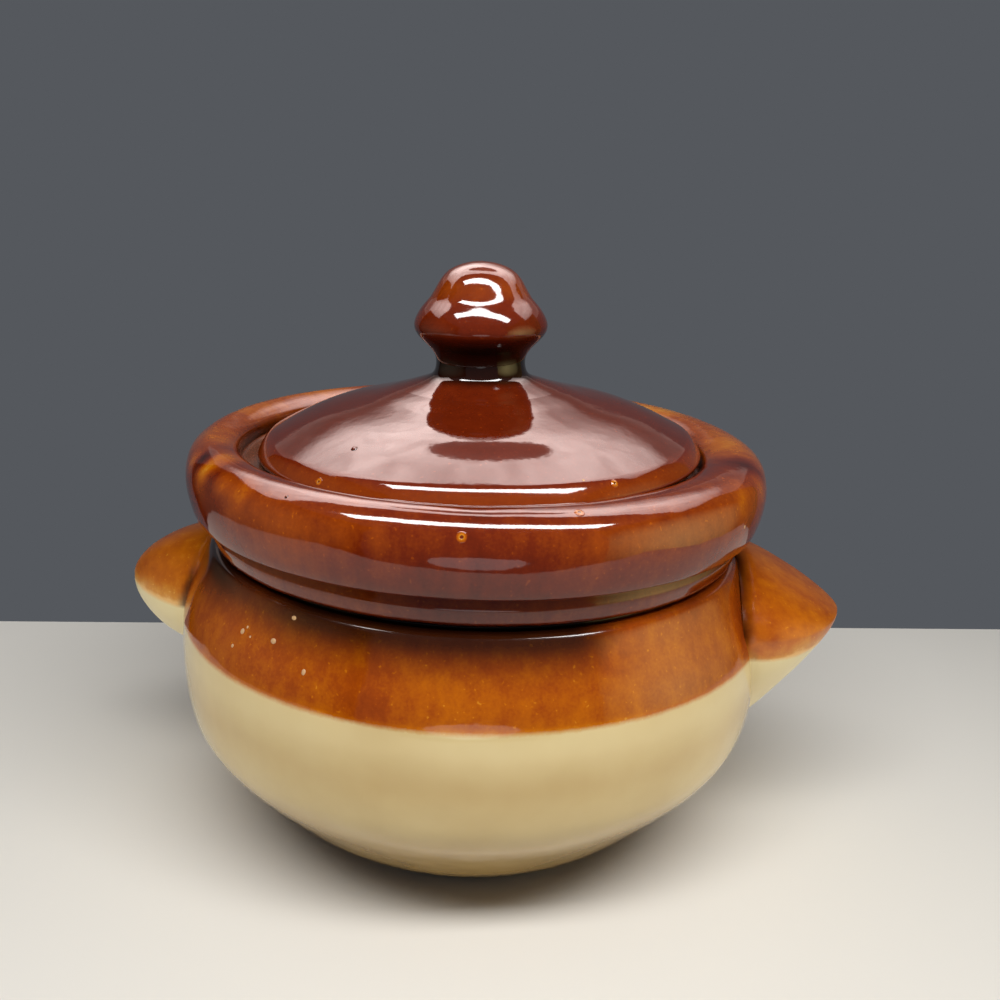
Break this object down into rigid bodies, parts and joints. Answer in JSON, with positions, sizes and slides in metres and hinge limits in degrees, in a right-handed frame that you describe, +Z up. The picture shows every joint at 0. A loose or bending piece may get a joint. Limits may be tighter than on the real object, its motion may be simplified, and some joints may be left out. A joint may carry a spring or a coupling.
{
  "type": "bean pot",
  "caption": "Round-bellied glazed stoneware pot with a rolled rim, solid side lugs and a loose domed lid with a bell-shaped knob, for baking and serving beans.",
  "frame": {"origin": "centre of the foot ring, on the surface that the pot stands on", "axes": "+Z up along the axis that the pot was thrown on, +X through the right lug"},
  "size_m": [0.1428, 0.1136, 0.1108],
  "materials": {
    "pot_glaze": "gloss",
    "lug_glaze": "gloss",
    "lid_glaze": "gloss",
    "knob_glaze": "gloss"
  },
  "bodies": {
    "pot": {"pot_body": "pot_glaze", "left_lug": "lug_glaze", "right_lug": "lug_glaze"},
    "lid": {"lid": "lid_glaze", "lid_knob": "knob_glaze"}
  },
  "joints": [
    {"name": "lid_lift", "type": "slide", "parent": "pot", "child": "lid", "axis": [0, 0, 1], "range_m": [0, 0.1]}
  ]
}
